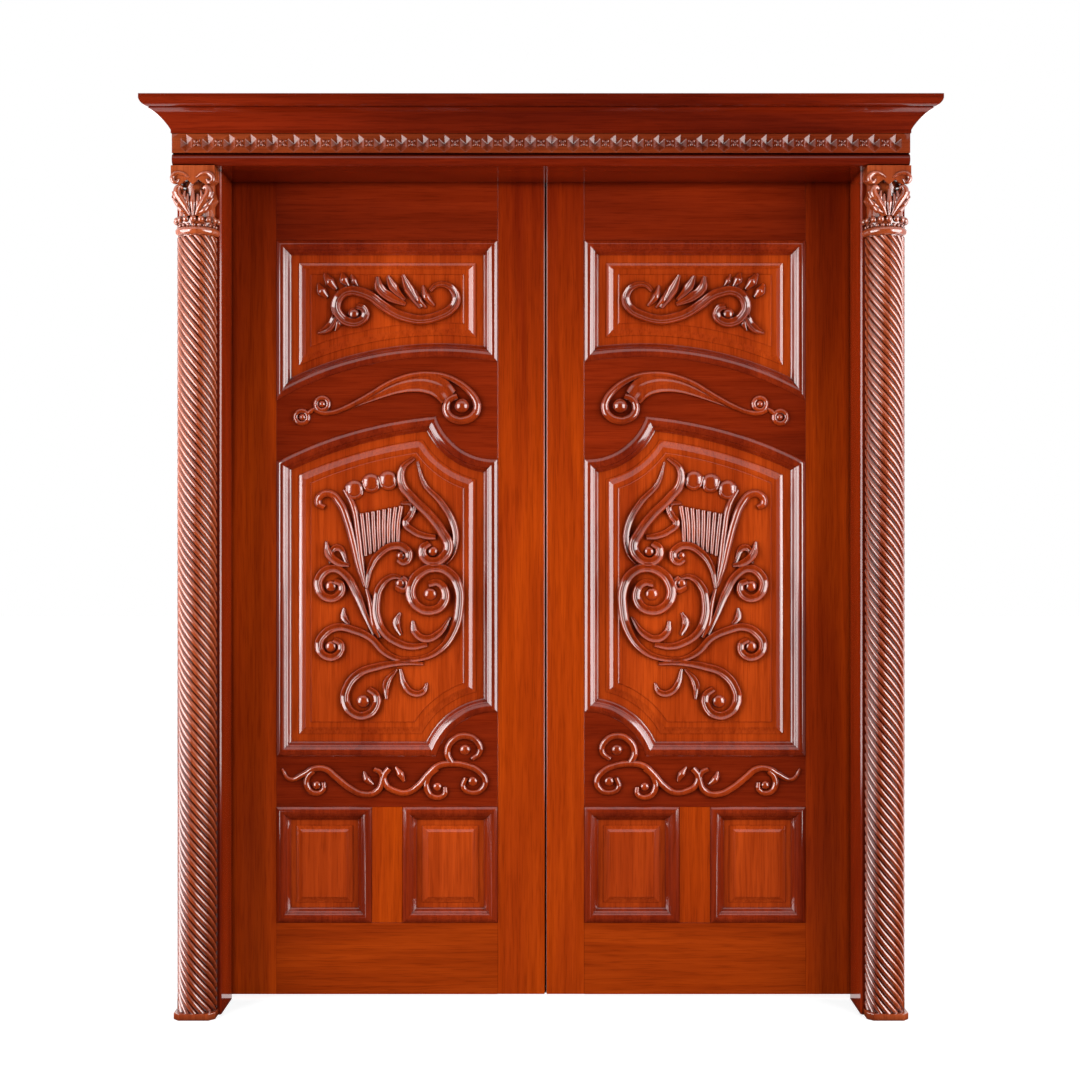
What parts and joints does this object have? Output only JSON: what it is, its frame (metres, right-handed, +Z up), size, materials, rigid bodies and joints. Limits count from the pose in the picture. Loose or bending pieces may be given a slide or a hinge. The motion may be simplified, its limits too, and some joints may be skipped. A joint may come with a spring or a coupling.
{
  "type": "carved double door with frame",
  "caption": "Glossy carved wooden double door in its frame, with rope-twist pilasters, leafy capitals, a tooth-band frieze, a cornice and raised panels with scrollwork.",
  "frame": {"origin": "on the floor, on the centre line of the doorway, half way between the front of the cornice and the back of the hinge knuckles", "axes": "+X to the viewer's right as the carved front is seen, -Y towards the viewer, +Z up"},
  "size_m": [1.952, 0.3194, 2.27],
  "materials": {
    "hinge_brass": "satin",
    "seal_rubber": "matt",
    "carved_wood": "gloss varnish",
    "column_wood": "gloss varnish",
    "moulding_wood": "gloss varnish",
    "panel_wood": "gloss varnish",
    "rail_wood": "gloss varnish",
    "stile_wood": "gloss varnish"
  },
  "bodies": {
    "frame": {"jamb_left": "stile_wood", "jamb_right": "stile_wood", "head": "rail_wood", "frieze_beam": "rail_wood", "frieze_end_left": "rail_wood", "frieze_end_right": "rail_wood", "frieze_torus": "moulding_wood", "tooth_band": "carved_wood", "crown_front": "moulding_wood", "crown_left": "moulding_wood", "crown_right": "moulding_wood", "top_board": "moulding_wood", "column_left": "column_wood", "column_right": "column_wood", "foot_left": "column_wood", "foot_right": "column_wood", "capital_left": "carved_wood", "capital_right": "carved_wood", "hinge_frames_left": "hinge_brass", "hinge_frames_right": "hinge_brass"},
    "left_leaf": {"left_hinge_stile": "stile_wood", "left_meeting_stile": "stile_wood", "left_top_rail": "rail_wood", "left_scroll_rail": "rail_wood", "left_lower_rail": "rail_wood", "left_bottom_rail": "rail_wood", "left_muntin": "stile_wood", "left_top_panel": "panel_wood", "left_main_panel": "panel_wood", "left_lower_panels": "panel_wood", "left_top_moulding": "moulding_wood", "left_main_moulding": "moulding_wood", "left_lower_mouldings": "moulding_wood", "left_top_carving": "carved_wood", "left_rail_carving": "carved_wood", "left_main_carving": "carved_wood", "left_lower_carving": "carved_wood", "left_hinge_leaves": "hinge_brass", "left_meeting_seal": "seal_rubber"},
    "right_leaf": {"right_hinge_stile": "stile_wood", "right_meeting_stile": "stile_wood", "right_top_rail": "rail_wood", "right_scroll_rail": "rail_wood", "right_lower_rail": "rail_wood", "right_bottom_rail": "rail_wood", "right_muntin": "stile_wood", "right_top_panel": "panel_wood", "right_main_panel": "panel_wood", "right_lower_panels": "panel_wood", "right_top_moulding": "moulding_wood", "right_main_moulding": "moulding_wood", "right_lower_mouldings": "moulding_wood", "right_top_carving": "carved_wood", "right_rail_carving": "carved_wood", "right_main_carving": "carved_wood", "right_lower_carving": "carved_wood", "right_hinge_leaves": "hinge_brass"}
  },
  "joints": [
    {"name": "left_leaf_hinge", "type": "hinge", "parent": "frame", "child": "left_leaf", "pos_m": [-0.8135, 0.15275, 1.04], "axis": [0, 0, 1], "range_deg": [0, 100]},
    {"name": "right_leaf_hinge", "type": "hinge", "parent": "frame", "child": "right_leaf", "pos_m": [0.8135, 0.15275, 1.04], "axis": [0, 0, -1], "range_deg": [0, 100]}
  ]
}
